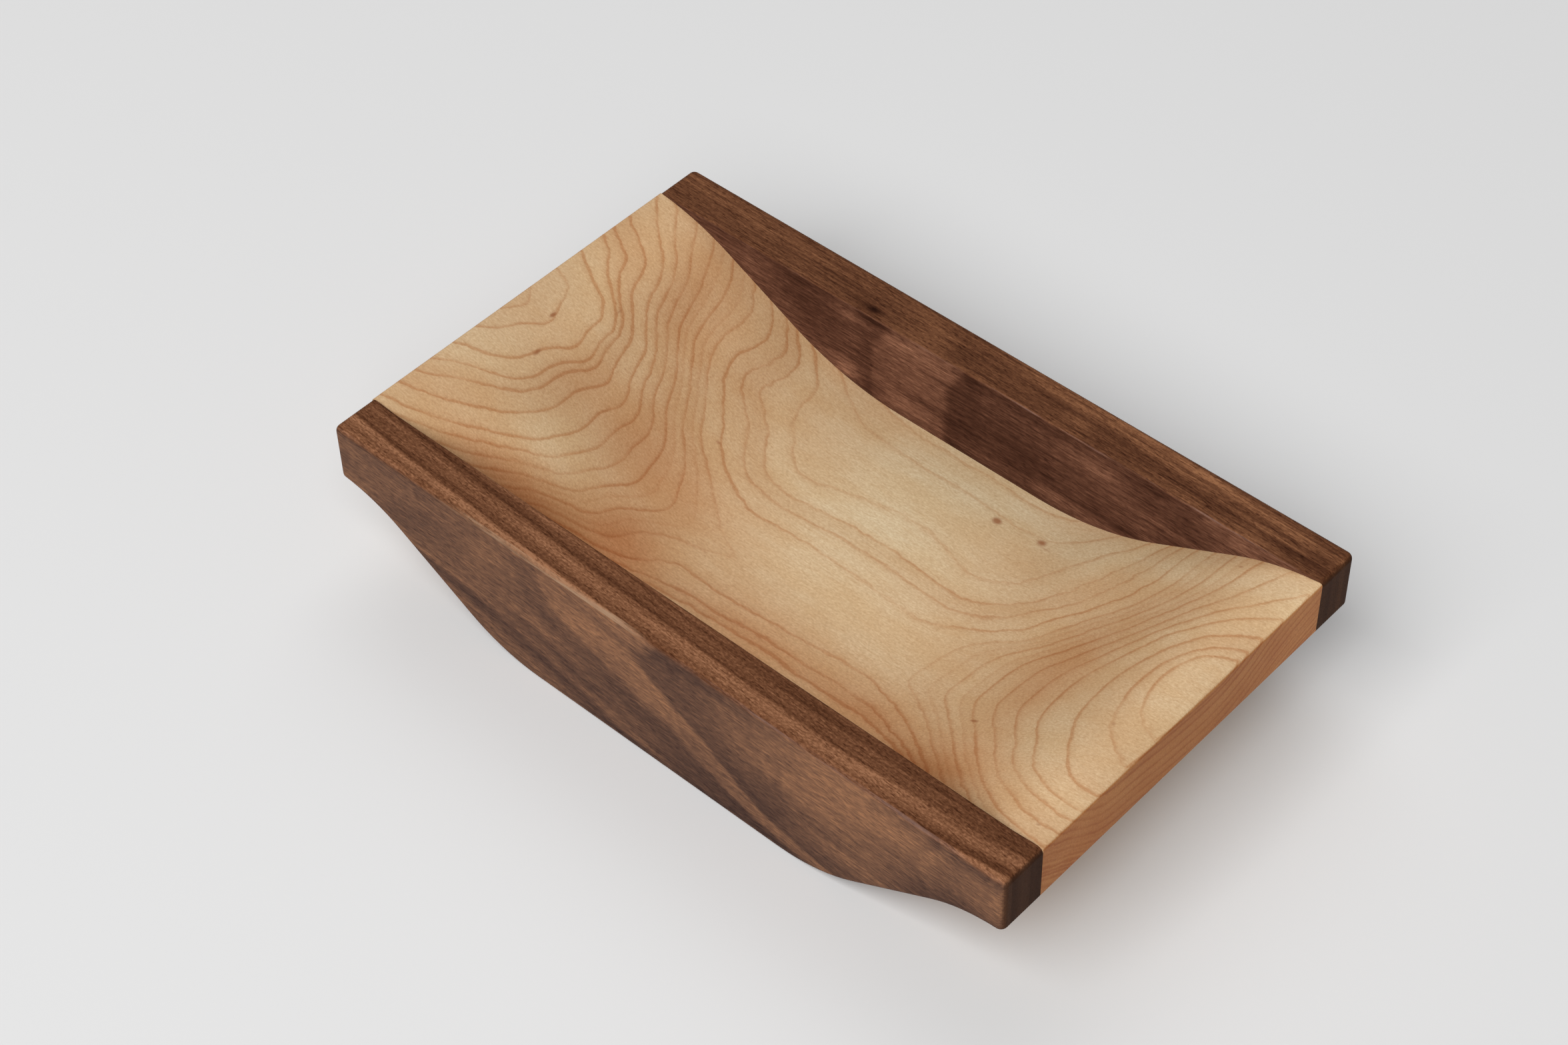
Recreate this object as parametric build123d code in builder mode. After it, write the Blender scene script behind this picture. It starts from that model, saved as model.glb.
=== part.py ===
from build123d import *
import os
from math import atan2, tan

# Coin tray: a thick maple board, scooped on top and cut to a like sweep below,
# glued between two walnut rails that are straight on top.
# Millimetres. +X runs along the tray, +Y across it to the far rail, +Z up.
# The origin is on the surface that the tray stands on, under its middle.

# Driving sizes of the tray
tray_length = 211.0
tray_width = 128.4
tray_height = 43.0
rail_thickness = 13.1

# Thickness of the board and of the rails' ends, both measured straight up
board_thickness = 15.0
end_thickness = 17.0

# Sizes of the scoop in the board's top
scoop_floor_length = 83.0
scoop_brow_run = 13.6
scoop_brow_drop = 1.9
scoop_hollow_share = 0.34
scoop_brow_share = 0.86

# Sizes of the underside that the board and both rails share
foot_length = 103.0
underside_brow_run = 11.8
underside_brow_drop = 0.9
underside_hollow_share = 0.25
underside_brow_share = 0.84

# Radii of the eased edges
rail_corner_radius = 1.8
rail_top_radius = 1.6
rail_inner_radius = 0.7
board_end_radius = 0.8
lower_edge_radius = 1.1

# The easing along a rail's inner edge stops short of the ends and fades out there
inner_easing_stop = 3.0
inner_easing_fade = 7.0

# Places worked out from the sizes
half_length = tray_length / 2
inner_face = tray_width / 2 - rail_thickness
tip_height = tray_height - end_thickness
easing_reach = half_length - inner_easing_stop
easing_height = tray_height - rail_inner_radius


def swept_outline(floor, tip, floor_length, brow_run, brow_drop, hollow_share, brow_share):
    """Draw a line from the left end to the right end: level in the middle, up a ramp on each side,
    and nearly level again at the ends, with an arc in each bend.

    floor and tip are the heights of the middle and of the ends. The brow is the bend at the top of
    a ramp, brow_run in from the end and brow_drop below it. Each arc reaches along its own straight
    by a share of that straight's length, the ramp for the hollow and the end for the brow.
    """
    knee = floor_length / 2
    brow = half_length - brow_run
    brow_height = tip - brow_drop
    ramp = Vector(brow - knee, brow_height - floor)
    end = Vector(brow_run, brow_drop)
    ramp_angle = atan2(ramp.Y, ramp.X)
    end_angle = atan2(end.Y, end.X)
    hollow_radius = ramp.length * hollow_share / tan(ramp_angle / 2)
    brow_radius = end.length * brow_share / tan((ramp_angle - end_angle) / 2)
    FilletPolyline(
        (-half_length, tip),
        (-brow, brow_height),
        (-knee, floor),
        (knee, floor),
        (brow, brow_height),
        (half_length, tip),
        radius=[brow_radius, hollow_radius, hollow_radius, brow_radius],
    )


def underside_outline():
    """Draw the underside, which is the same on the board and on the rails."""
    swept_outline(
        0,
        tip_height,
        foot_length,
        underside_brow_run,
        underside_brow_drop,
        underside_hollow_share,
        underside_brow_share,
    )


# Scooped board: one thick block of maple, its ends flush with the rails
with BuildPart() as scooped_board:
    with BuildSketch(Plane.XZ):
        with BuildLine():
            underside_outline()
            Line((half_length, tip_height), (half_length, tray_height))
            swept_outline(
                board_thickness,
                tray_height,
                scoop_floor_length,
                scoop_brow_run,
                scoop_brow_drop,
                scoop_hollow_share,
                scoop_brow_share,
            )
            Line((-half_length, tray_height), (-half_length, tip_height))
        make_face()
    extrude(amount=inner_face, both=True)
    for left_or_right in (0, -1):
        for lower_or_upper, edge_radius in ((0, lower_edge_radius), (-1, board_end_radius)):
            end_edges = scooped_board.edges().filter_by(Axis.Y).group_by(Axis.X)[left_or_right]
            fillet(end_edges.sort_by(Axis.Z)[lower_or_upper], radius=edge_radius)

# Near rail: straight on top, cut to the underside below, glued to the board's side
with BuildPart() as near_rail:
    with BuildSketch(Plane.XZ.offset(inner_face)):
        with BuildLine():
            underside_outline()
            Polyline(
                (half_length, tip_height),
                (half_length, tray_height),
                (-half_length, tray_height),
                (-half_length, tip_height),
            )
        make_face()
    extrude(amount=rail_thickness)
    outer_corners = near_rail.edges().filter_by(Axis.Z).group_by(Axis.Y)[0]
    fillet(outer_corners, radius=rail_corner_radius)
    top_edges = near_rail.faces().sort_by(Axis.Z)[-1].edges()
    fillet(top_edges.sort_by(Axis.Y)[:-1], radius=rail_top_radius)
    outer_face = near_rail.faces().sort_by(Axis.Y)[0]
    foot_edges = outer_face.edges().filter_by_position(Axis.Z, 0, tip_height)
    fillet(foot_edges, radius=lower_edge_radius)
    # The easing of the inner edge: a stopped notch, filled up again with a quarter round
    with BuildSketch(Plane.XZ.offset(inner_face)):
        with BuildLine():
            Polyline(
                (-easing_reach, tray_height),
                (inner_easing_fade - easing_reach, easing_height),
                (easing_reach - inner_easing_fade, easing_height),
                (easing_reach, tray_height),
                close=True,
            )
        make_face()
    extrude(amount=rail_inner_radius, mode=Mode.SUBTRACT)
    with BuildSketch(Plane.YZ):
        with BuildLine():
            quarter = CenterArc((-inner_face - rail_inner_radius, easing_height), rail_inner_radius, 0, 90)
            Line(quarter @ 1, (-inner_face - rail_inner_radius, easing_height))
            Line((-inner_face - rail_inner_radius, easing_height), quarter @ 0)
        make_face()
    extrude(amount=easing_reach, both=True)

# Far rail: the near rail's mirror image
with BuildPart() as far_rail:
    mirror(near_rail.part, about=Plane.XZ)

scooped_board.part.label = "scooped_board"
near_rail.part.label = "near_rail"
far_rail.part.label = "far_rail"

os.makedirs("parts", exist_ok=True)
export_step(scooped_board.part, "parts/scooped_board.step")
export_step(near_rail.part, "parts/near_rail.step")
export_step(far_rail.part, "parts/far_rail.step")
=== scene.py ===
import math

import bpy
from mathutils import Matrix, Vector


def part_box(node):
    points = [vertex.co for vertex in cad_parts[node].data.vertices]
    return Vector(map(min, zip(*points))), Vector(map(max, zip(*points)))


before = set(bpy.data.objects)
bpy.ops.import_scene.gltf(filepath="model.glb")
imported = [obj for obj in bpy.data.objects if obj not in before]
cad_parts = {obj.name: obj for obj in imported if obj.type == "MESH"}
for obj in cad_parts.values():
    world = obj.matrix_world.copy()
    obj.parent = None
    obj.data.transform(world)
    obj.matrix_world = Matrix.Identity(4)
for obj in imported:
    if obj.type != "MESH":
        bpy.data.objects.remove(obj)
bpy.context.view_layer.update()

# The camera, solved from the photograph: angles in degrees, lengths in metres
IMAGE_WIDTH = 2352
FOCAL_PIXELS = 4790.509
SENSOR_MM = 36.0
AZIMUTH = 43.137
ELEVATION = 46.444
ROLL = -0.0252
DISTANCE = 0.783337
TARGET = Vector((-0.01605, -0.000018, 0.020))
CLIP_START = 0.01

# The light: a broad soft bank in front, a weak one behind on the left, and a dark grey room.
# Each bank: name, place, width, height and watts
BANKS = (
    ("front", Vector((0.5, -2.05, 2.55)), 3.6, 2.6, 128.0),
    ("back", Vector((-1.4, 1.6, 2.4)), 2.6, 2.2, 24.0),
)
ROOM_BRIGHTNESS = 0.08
FLOOR_HALF = 3.0
# The floor lies a hair lower than the tray's foot, so that the two faces don't mix
FLOOR_HEIGHT = -0.00003
FLOOR_SHADE = 0.80
FLOOR_ROUGHNESS = 0.9
FLOOR_SPECULAR = 0.1

# Everything in a material is worked out in millimetres
MM_PER_METRE = 1000.0
METRE_PER_MM = 0.001


def srgb(red, green, blue):
    """The linear colour of a shade given in the usual 0 to 255."""
    def linear(value):
        share = value / 255
        return share / 12.92 if share <= 0.04045 else ((share + 0.055) / 1.055) ** 2.4
    return (linear(red), linear(green), linear(blue), 1.0)


class Graph:
    """A node tree, with short ways to add nodes to it."""

    def __init__(self, tree):
        self.tree = tree

    def node(self, kind, **settings):
        made = self.tree.nodes.new(kind)
        for name, value in settings.items():
            setattr(made, name, value)
        return made

    def feed(self, socket, value):
        if isinstance(value, bpy.types.NodeSocket):
            self.tree.links.new(value, socket)
        else:
            socket.default_value = value

    def math(self, operation, *values):
        made = self.node("ShaderNodeMath", operation=operation)
        for socket, value in zip(made.inputs, values):
            self.feed(socket, value)
        return made.outputs[0]

    def product(self, first, *others):
        """All the values multiplied."""
        for other in others:
            first = self.math("MULTIPLY", first, other)
        return first

    def vector(self, operation, *values):
        made = self.node("ShaderNodeVectorMath", operation=operation)
        for socket, value in zip(made.inputs, values):
            self.feed(socket, value)
        return made.outputs["Value" if operation in ("DOT_PRODUCT", "LENGTH") else "Vector"]

    def scaled(self, vector, factor):
        made = self.node("ShaderNodeVectorMath", operation="SCALE")
        self.feed(made.inputs[0], vector)
        self.feed(made.inputs["Scale"], factor)
        return made.outputs["Vector"]

    def split(self, vector):
        made = self.node("ShaderNodeSeparateXYZ")
        self.feed(made.inputs[0], vector)
        return made.outputs[0], made.outputs[1], made.outputs[2]

    def join(self, x, y, z):
        made = self.node("ShaderNodeCombineXYZ")
        for socket, value in zip(made.inputs, (x, y, z)):
            self.feed(socket, value)
        return made.outputs[0]

    def noise(self, place, kind, shift=0.0, colour=False):
        """Noise from 0 to 1. Its kind: the size of a cell in millimetres, its own shift, its detail
        and its roughness."""
        cell, own_shift, detail, roughness = kind
        moved = self.vector("ADD", place, (own_shift + shift,) * 3)
        made = self.node("ShaderNodeTexNoise")
        self.feed(made.inputs["Vector"], self.vector("DIVIDE", moved, cell))
        made.inputs["Scale"].default_value = 1.0
        made.inputs["Detail"].default_value = detail
        made.inputs["Roughness"].default_value = roughness
        return made.outputs["Color" if colour else "Fac"]

    def swing(self, place, kind, shift=0.0):
        """A number of noise that swings around 0, by half to either side at most."""
        return self.math("SUBTRACT", self.noise(place, kind, shift), 0.5)

    def wobble(self, place, kind, reach, shift=0.0):
        """A vector of noise that swings around 0, by half the reach to either side at most."""
        noise = self.noise(place, kind, shift, colour=True)
        return self.vector("MULTIPLY", self.vector("SUBTRACT", noise, (0.5, 0.5, 0.5)), reach)

    def ease(self, value, low, high, start=0.0, end=1.0):
        """Go smoothly from start to end as the value goes from low to high."""
        made = self.node("ShaderNodeMapRange", interpolation_type="SMOOTHSTEP")
        names = ("Value", "From Min", "From Max", "To Min", "To Max")
        for name, setting in zip(names, (value, low, high, start, end)):
            self.feed(made.inputs[name], setting)
        return made.outputs[0]

    def mix(self, factor, first, second, blend="MIX"):
        made = self.node("ShaderNodeMix", data_type="RGBA", blend_type=blend)
        self.feed(made.inputs[0], factor)
        self.feed(made.inputs[6], first)
        self.feed(made.inputs[7], second)
        return made.outputs[2]

    def filtered(self, colour, tint):
        """The colour multiplied by the tint."""
        return self.mix(1.0, colour, tint, "MULTIPLY")

    def ramp(self, value, stops, interpolation="LINEAR"):
        """A ramp from pairs of position and brightness, all from 0 to 1."""
        made = self.node("ShaderNodeValToRGB")
        self.feed(made.inputs[0], value)
        ramp = made.color_ramp
        ramp.interpolation = interpolation
        while len(ramp.elements) < len(stops):
            ramp.elements.new(0.5)
        for element, (position, _) in zip(ramp.elements, stops):
            element.position = position
        for element, (_, brightness) in zip(ramp.elements, stops):
            element.color = (brightness, brightness, brightness, 1.0)
        return made.outputs[0]

    def between(self, share, first, second):
        """A number between two others, the first at share 0 and the second at share 1."""
        span = self.math("SUBTRACT", second, first)
        return self.math("MULTIPLY_ADD", span, share, first)

    def profile(self, value, points):
        """A number that follows the given pairs of place and number, which lie between -1 and 1."""
        low, high = points[0][0], points[-1][0]
        stops = [((at - low) / (high - low), 0.5 + 0.5 * amount) for at, amount in points]
        share = self.math("DIVIDE", self.math("SUBTRACT", value, low), high - low)
        return self.math("MULTIPLY_ADD", self.ramp(share, stops), 2.0, -1.0)

    def group(self, tree, **values):
        made = self.node("ShaderNodeGroup")
        made.node_tree = tree
        for name, value in values.items():
            self.feed(made.inputs[name], value)
        return made.outputs

    def bump(self, height, strength, distance_mm):
        """The surface's direction, bumped by the height."""
        made = self.node("ShaderNodeBump")
        made.inputs["Strength"].default_value = strength
        made.inputs["Distance"].default_value = distance_mm * METRE_PER_MM
        self.feed(made.inputs["Height"], height)
        return made.outputs["Normal"]


def new_group(name, inputs, outputs):
    """An empty node group with its sockets. Returns the tree, its graph and both ends."""
    tree = bpy.data.node_groups.new(name, "ShaderNodeTree")
    for way, sockets in (("INPUT", inputs), ("OUTPUT", outputs)):
        for socket_name, kind in sockets:
            tree.interface.new_socket(socket_name, in_out=way, socket_type="NodeSocket" + kind)
    graph = Graph(tree)
    return tree, graph, graph.node("NodeGroupInput").outputs, graph.node("NodeGroupOutput").inputs


def bell(graph, given):
    """How far up a rounded hill a place lies, from 0 to 1, and its offset from the hill's centre,
    measured in the hill's spread."""
    offset = graph.vector("SUBTRACT", given["Place"], given["Centre"])
    offset = graph.vector("DIVIDE", offset, given["Spread"])
    square = graph.vector("DOT_PRODUCT", offset, offset)
    return graph.math("EXPONENT", graph.math("MULTIPLY", square, -0.5)), offset


HILL_SOCKETS = [("Place", "Vector"), ("Centre", "Vector"), ("Spread", "Vector"), ("Height", "Float")]


def make_swell_group():
    """One rounded swell, added to the sum of those before it, with the sum's slope."""
    sums = [("Sum", "Float"), ("Slope", "Vector")]
    tree, graph, given, result = new_group("swell", HILL_SOCKETS + sums, sums)
    share, offset = bell(graph, given)
    height = graph.math("MULTIPLY", share, given["Height"])
    slope = graph.scaled(graph.vector("DIVIDE", offset, given["Spread"]), height)
    graph.feed(result["Sum"], graph.math("ADD", given["Sum"], height))
    graph.feed(result["Slope"], graph.vector("SUBTRACT", given["Slope"], slope))
    return tree


def make_patch_group():
    """One soft patch, added to the sum of those before it."""
    sums = [("Sum", "Float")]
    tree, graph, given, result = new_group("patch", HILL_SOCKETS + sums, sums)
    share, _ = bell(graph, given)
    graph.feed(result["Sum"], graph.math("MULTIPLY_ADD", share, given["Height"], given["Sum"]))
    return tree


SWELL = make_swell_group()
PATCH = make_patch_group()


def add_swells(graph, place, swells, total, slope):
    """Add each swell's height and slope. The place's third number is 0."""
    for centre_x, centre_y, spread_x, spread_y, height in swells:
        outputs = graph.group(
            SWELL,
            Place=place,
            Centre=(centre_x, centre_y, 0.0),
            Spread=(spread_x, spread_y, 1.0),
            Height=height,
            Sum=total,
            Slope=slope,
        )
        total, slope = outputs["Sum"], outputs["Slope"]
    return total, slope


def add_patches(graph, place, patches, total=0.0):
    """Sum up soft patches, each a centre, a spread and a strength. The place has as many numbers."""
    for *numbers, strength in patches:
        half = len(numbers) // 2
        centre = (*numbers[:half], 0.0)[:3]
        spread = (*numbers[half:], 1.0)[:3]
        outputs = graph.group(PATCH, Place=place, Centre=centre, Spread=spread, Height=strength, Sum=total)
        total = outputs["Sum"]
    return total


def tinted(graph, colour, *tints):
    """The colour times e to the power of each amount times its tint, for red, green and blue."""
    power = (0.0, 0.0, 0.0)
    for amount, tint in tints:
        power = graph.vector("ADD", power, graph.scaled(tint, amount))
    factors = [graph.math("EXPONENT", part) for part in graph.split(power)]
    return graph.vector("MULTIPLY", colour, graph.join(*factors))


def start_material(name):
    """A new material with the place in millimetres and the surface's own direction."""
    material = bpy.data.materials.new(name)
    material.use_nodes = True
    graph = Graph(material.node_tree)
    shader = material.node_tree.nodes["Principled BSDF"]
    coordinates = graph.node("ShaderNodeTexCoord")
    place = graph.scaled(coordinates.outputs["Object"], MM_PER_METRE)
    return material, graph, shader, place, coordinates.outputs["Normal"]


# The lists of swells, bands, steps and patches below were first found by fits to the photograph and
# comparisons with it, and then adjusted. They hold no colours or pixels of it.

# Maple: the growth rings lie like a stack of bent sheets. A sheet's bend over the place x, y is a
# smooth bowl with swells in it, and its depth below the bend is the height of the ring.
# The bowl's terms are for x / 50, y / 50, their squares, their product and the cube of x / 50.
BOWL_SIZE = 50.0
BOWL_X, BOWL_X_CUBE, BOWL_Y, BOWL_Y_SQUARE, BOWL_XY = -0.58, 0.40, -3.42, 13.65, -0.34
# Each swell: centre x, centre y, spread x, spread y, height
MAPLE_SWELLS = (
    (-73.5, 34.9, 26.1, 24.7, 10.3), (27.5, -36.5, 16.2, 10.1, -2.9), (-50.6, -26.3, 47.2, 14.6, -7.7),
    (81.7, 30.6, 24.6, 16.8, 11.5), (-54.9, 48.5, 21.1, 12.6, -7.1), (96.2, 19.2, 14.0, 11.4, -7.3),
    (-84.2, 11.7, 13.4, 7.5, -7.4), (51.7, 52.0, 8.0, 25.6, -1.3), (21.7, 18.6, 60.0, 10.5, 3.2),
    (102.3, -30.0, 14.3, 6.3, -2.7), (-45.2, 20.7, 9.1, 6.3, -1.8), (-91.1, 29.7, 8.9, 6.4, -4.4),
    (-63.6, -37.3, 11.2, 5.4, 3.1), (51.4, -17.0, 26.9, 4.8, -1.3), (-102.4, -26.2, 13.9, 7.7, 3.8),
    (-46.6, -23.6, 20.4, 5.5, 3.1), (-76.4, -1.4, 18.0, 4.4, -3.3), (53.6, 9.4, 10.7, 4.1, 1.4),
)
# The height of each ring line, from the top of the tree's curve down, how dark it is, and how
# much lighter or darker the wood is between it and the next one
MAPLE_RINGS = (
    (45.4, 0.80, 3), (44.0, 0.95, 7), (40.9, 1.05, 7), (38.7, 0.90, 1), (37.4, 0.85, 1),
    (34.7, 0.95, 6), (30.9, 0.75, 5), (28.1, 0.65, 0), (25.3, 0.60, -1), (22.5, 0.75, -3),
    (21.0, 0.25, 1), (19.4, 0.62, -2), (18.0, 0.25, 0), (16.8, 0.55, 4), (14.8, 0.95, 3),
    (13.3, 0.80, -1), (12.2, 1.00, 7), (10.7, 0.80, 3), (8.3, 0.50, -2), (5.3, 0.50, 2),
)
OTHER_RINGS = 0.6
PLAIN_RING_SPACING = 2.2
# The range of heights over which the rings are counted, and the most that the count can be
LOWEST, HIGHEST = -30.0, 60.0
MOST_RINGS = 60.0
# How far up and down a place the rings are counted to find their spacing
RING_PROBE = 0.4

# An ease is written as the values where it starts and ends, and then the numbers it goes from and
# to, which are 0 and 1 where they are left out.
# A ring line is sharp on its lower side and fades slowly on its upper side, in millimetres
LINE_RISE, LINE_FALL = (-0.42, -0.03), (0.0, 0.95, 1.12, 0.0)
VEIL_RISE, VEIL_FALL = (-1.0, 0.0, 0.0, 0.27), (0.0, 2.6, 1.0, 0.0)
# Where the surface runs nearly along the sheets the lines get wide, so they are weaker there
SLOWEST_RATE = 0.10
SLOW_FADE = (SLOWEST_RATE, 0.40, 0.45, 1.0)
# A ramp holds at most 32 rings, and its tones run from -10 to 10. The margin keeps a whole number
# of rings clear of the ramp's jump there.
RAMP_RINGS = 32.0
RAMP_MARGIN = 0.1
TONE_RANGE = 20.0

# Each kind of noise: a cell's size along x, y and z in millimetres, shift, detail and roughness
MAPLE_WOBBLE, MAPLE_WOBBLE_REACH = ((9.0, 5.0, 5.0), 0.0, 3.0, 0.5), (2.4, 2.0, 0.3)
FINE_WOBBLE, FINE_WOBBLE_REACH = ((2.6, 1.9, 1.9), 60.0, 2.0, 0.5), (1.1, 1.0, 0.1)
LINE_NOISE, LINE_NOISE_FADE = ((16.0, 9.0, 9.0), 40.0, 2.0, 0.5), (0.30, 0.62, 0.60, 1.10)
CLOUDS, CLOUDS_FADE = ((20.0, 9.0, 9.0), 7.0, 3.0, 0.5), (0.32, 0.70)
MAPLE_FIBRES, MAPLE_FIBRES_FADE = ((9.0, 0.45, 0.45), 0.0, 3.0, 0.6), (0.35, 0.75, 0.0, 0.45)
RAYS, RAYS_FADE, RAYS_SHARE = ((1.5, 0.22, 0.22), 3.0, 1.0, 0.5), (0.56, 0.72), 0.25
STIPPLE = ((0.9, 0.42, 0.42), 21.0, 2.0, 0.7)

# The maple's colours
PALE_MAPLE = srgb(206, 172, 134)
CLOUDY_MAPLE = srgb(201, 163, 122)
FIBRE_COLOUR = srgb(190, 148, 106)
RAY_COLOUR = srgb(172, 126, 84)
FLECK_COLOUR = srgb(150, 94, 58)
MAPLE_TINT = (0.96, 0.96, 0.94, 1.0)
LINE_TINT = (0.82, 0.665, 0.565, 1.0)
END_GRAIN_TINT = (0.74, 0.44, 0.225, 1.0)
# How much one unit does to red, green and blue, as powers of e
WARMTH = (-0.21, -0.50, -0.71)
LIGHTNESS = (0.10, 0.10, 0.10)
BAND_TINT = (0.008, 0.0155, 0.020)
STIPPLE_TINT = (0.55, 0.75, 0.95)

# Soft patches of warmer and of lighter wood, and along the near rail of painted warm shade and
# painted light in its shadow: centre x, centre y, spread x, spread y, strength
WARM_TONE_AND_PAINTED_SHADE_PATCHES = (
    # The left ramp and the left end; those near y -29 to -42 are painted warm shade in the near rail's
    # shadow
    (-56.7, -7.2, 22.5, 8.7, 0.64), (-43.4, -29.0, 7.5, 6.0, 1.14), (-54.1, -42.1, 17.6, 5.0, 1.6),
    (-74.5, 32.7, 24.4, 15.8, 0.31), (-80.0, 32.0, 4.0, 10.0, 0.18), (-96.0, 20.0, 8.0, 8.0, -0.12),
    (-98.0, -10.0, 8.0, 14.0, -0.08), (-64.0, -22.0, 8.0, 8.0, -0.20), (-73.0, -21.0, 6.0, 6.0, -0.08),
    (-72.0, -42.0, 60.0, 5.0, 0.12),
    # The floor; those near y -27 and -32 are painted warm shade in the near rail's shadow
    (-1.7, -27.2, 19.7, 7.0, 0.63), (17.5, -31.6, 60.0, 3.0, 0.28), (-2.4, 25.9, 21.9, 30.4, -0.39),
    (22.0, 46.0, 10.0, 4.0, -0.15),
    # The right ramp; those near y -28 and -43 are painted warm shade in the near rail's shadow
    (38.2, -28.3, 10.8, 6.2, 0.52), (57.3, -43.3, 13.5, 6.2, 1.6), (70.8, -3.9, 6.4, 14.0, 0.64),
    (66.0, -18.0, 50.0, 12.0, -0.13), (62.0, 34.0, 20.0, 8.0, 0.09), (54.7, 43.6, 60.0, 6.3, -0.33),
)
LIGHT_TONE_AND_PAINTED_LIGHT_PATCHES = (
    # The left ramp and the left end; the one at y -36 is painted light in the near rail's shadow
    (-95.0, 28.9, 7.6, 28.0, 1.3), (-80.0, 44.0, 8.0, 8.0, 0.55), (-68.0, 30.0, 5.0, 10.0, 0.7),
    (-98.0, 8.0, 5.0, 10.0, -0.6), (-74.0, -14.0, 20.0, 8.0, -0.7), (-66.0, -22.0, 7.0, 10.0, -0.28),
    (-41.0, -36.0, 8.0, 5.0, 1.9),
    # The floor along the near rail: painted light that lifts the near rail's shadow
    (7.9, -38.3, 67.8, 9.2, 1.9), (10.5, -41.0, 45.6, 29.0, 1.9), (0.0, -33.0, 14.0, 5.0, 0.7),
    (36.0, -35.0, 10.0, 4.0, 0.7),
    # The right ramp and the right end
    (42.0, 32.0, 5.0, 10.0, -0.5), (58.0, 30.0, 6.0, 20.0, 0.45), (64.0, -20.0, 25.0, 15.0, -0.5),
    (84.0, 40.0, 8.0, 8.0, 0.30), (98.0, 15.6, 6.4, 60.0, 1.5), (106.5, 44.0, 3.0, 12.0, 1.6),
)
# The warm patches are fitted to the top and are weaker where the wood faces down
UNDERSIDE_FADE = (-0.3, 0.3, 0.4, 1.0)
# Small brown marks: x, y, z, half their size along x and along y, strength
FLECKS = (
    (-94.8, 0.8, 42.0, 0.5, 0.95, 0.9), (-89.5, -10.3, 40.6, 0.5, 1.2, 0.9),
    (-85.6, 14.9, 38.5, 0.35, 1.3, 0.5), (-74.0, 5.0, 32.5, 0.8, 0.3, 0.4),
    (-56.5, 5.5, 24.0, 1.2, 0.5, 0.3), (-47.5, 10.3, 20.0, 0.8, 0.4, 0.6),
    (20.0, 38.5, 15.2, 1.2, 0.9, 0.8), (33.5, 39.3, 16.0, 1.2, 0.8, 0.75),
    (36.0, 37.9, 16.3, 1.6, 0.3, 0.4), (61.0, 8.3, 26.0, 1.2, 0.6, 0.3),
    (62.5, -22.0, 27.0, 1.1, 0.4, 0.8), (72.7, 5.5, 31.7, 0.8, 0.4, 0.3),
    (85.5, 47.5, 38.5, 0.6, 0.4, 0.6), (94.0, -12.0, 41.5, 0.7, 0.4, 0.5),
    (100.0, -46.0, 42.4, 0.6, 0.4, 0.5),
)
FLECK_DEPTH = 2.0
FLECK_FADE = (0.15, 0.75, 0.0, 0.85)
MAPLE_END_FADE = (0.60, 0.98)

MAPLE_BUMP_STRENGTH, MAPLE_BUMP_MM = 0.35, 0.02
RAYS_RELIEF, FIBRES_RELIEF, LINE_RELIEF = -0.6, 0.8, -0.5
MAPLE_ROUGHNESS, FIBRES_ROUGHNESS = 0.40, 0.10
MAPLE_SPECULAR = 0.10


def make_ring_count_group():
    """Count the ring lines from a height. A whole number is the middle of a line."""
    tree, graph, given, result = new_group("ring_count", [("Height", "Float")], [("Count", "Float")])
    heights = [height for height, _, _ in MAPLE_RINGS]
    last = len(heights) - 1
    points = [(height, number) for number, height in enumerate(heights)]
    points.append((HIGHEST, -(HIGHEST - heights[0]) / PLAIN_RING_SPACING))
    points.append((LOWEST, last + (heights[-1] - LOWEST) / PLAIN_RING_SPACING))
    points.sort()

    curve = graph.node("ShaderNodeFloatCurve")
    share = graph.math("DIVIDE", graph.math("SUBTRACT", given["Height"], LOWEST), HIGHEST - LOWEST)
    graph.feed(curve.inputs["Value"], share)
    line = curve.mapping.curves[0]
    while len(line.points) < len(points):
        line.points.new(0.5, 0.5)
    for point, (height, number) in zip(line.points, points):
        point.location = ((height - LOWEST) / (HIGHEST - LOWEST), 0.5 + number / (2 * MOST_RINGS))
        point.handle_type = "VECTOR"
    curve.mapping.update()
    count = graph.math("MULTIPLY", graph.math("SUBTRACT", curve.outputs[0], 0.5), 2 * MOST_RINGS)
    graph.feed(result["Count"], count)
    return tree


RING_COUNT = make_ring_count_group()


def bowl(graph, x, y):
    """The maple's bowl and its slope at a place."""
    u = graph.math("DIVIDE", x, BOWL_SIZE)
    v = graph.math("DIVIDE", y, BOWL_SIZE)
    u_square = graph.math("MULTIPLY", u, u)
    height = graph.product(u_square, u, BOWL_X_CUBE)
    height = graph.math("MULTIPLY_ADD", u, BOWL_X, height)
    height = graph.math("MULTIPLY_ADD", v, BOWL_Y, height)
    height = graph.math("MULTIPLY_ADD", graph.math("MULTIPLY", v, v), BOWL_Y_SQUARE, height)
    height = graph.math("MULTIPLY_ADD", graph.math("MULTIPLY", u, v), BOWL_XY, height)
    slope_x = graph.math("MULTIPLY_ADD", u_square, 3 * BOWL_X_CUBE, BOWL_X)
    slope_x = graph.math("MULTIPLY_ADD", v, BOWL_XY, slope_x)
    slope_y = graph.math("MULTIPLY_ADD", v, 2 * BOWL_Y_SQUARE, BOWL_Y)
    slope_y = graph.math("MULTIPLY_ADD", u, BOWL_XY, slope_y)
    return height, graph.scaled(graph.join(slope_x, slope_y, 0.0), 1 / BOWL_SIZE)


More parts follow.
